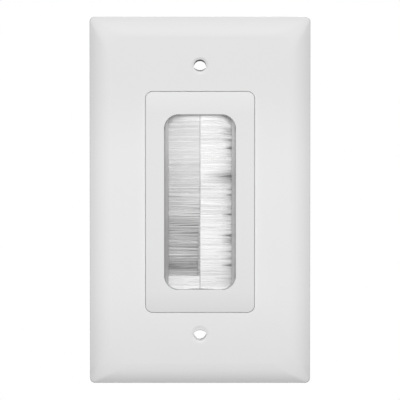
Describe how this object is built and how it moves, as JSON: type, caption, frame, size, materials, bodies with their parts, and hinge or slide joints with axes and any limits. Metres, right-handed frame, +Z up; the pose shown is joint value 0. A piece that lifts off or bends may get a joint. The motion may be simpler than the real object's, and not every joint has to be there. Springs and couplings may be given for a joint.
{
  "type": "brush cable wall plate",
  "caption": "Upright white wall plate whose framed window is closed by facing strip brushes, so that cables can pass through the wall behind it.",
  "frame": {"origin": "middle of the plate's rim, on the wall plane that the rim rests on", "axes": "+X to the right seen from the front, +Y into the wall, +Z up"},
  "size_m": [0.0688, 0.0091, 0.1142],
  "materials": {
    "plate_plastic": "satin white moulding",
    "insert_plastic": "satin white moulding",
    "retainer_plastic": "matt white moulding",
    "channel_metal": "mill finish sheet",
    "core_wire_steel": "drawn wire",
    "bristle_nylon": "white nylon filament"
  },
  "bodies": {
    "root": {"wall_plate": "plate_plastic", "brush_insert": "insert_plastic", "brush_retainer": "retainer_plastic", "left_brush_channel": "channel_metal", "right_brush_channel": "channel_metal", "left_core_wire": "core_wire_steel", "right_core_wire": "core_wire_steel", "left_bristles": "bristle_nylon", "right_bristles": "bristle_nylon"}
  },
  "joints": []
}
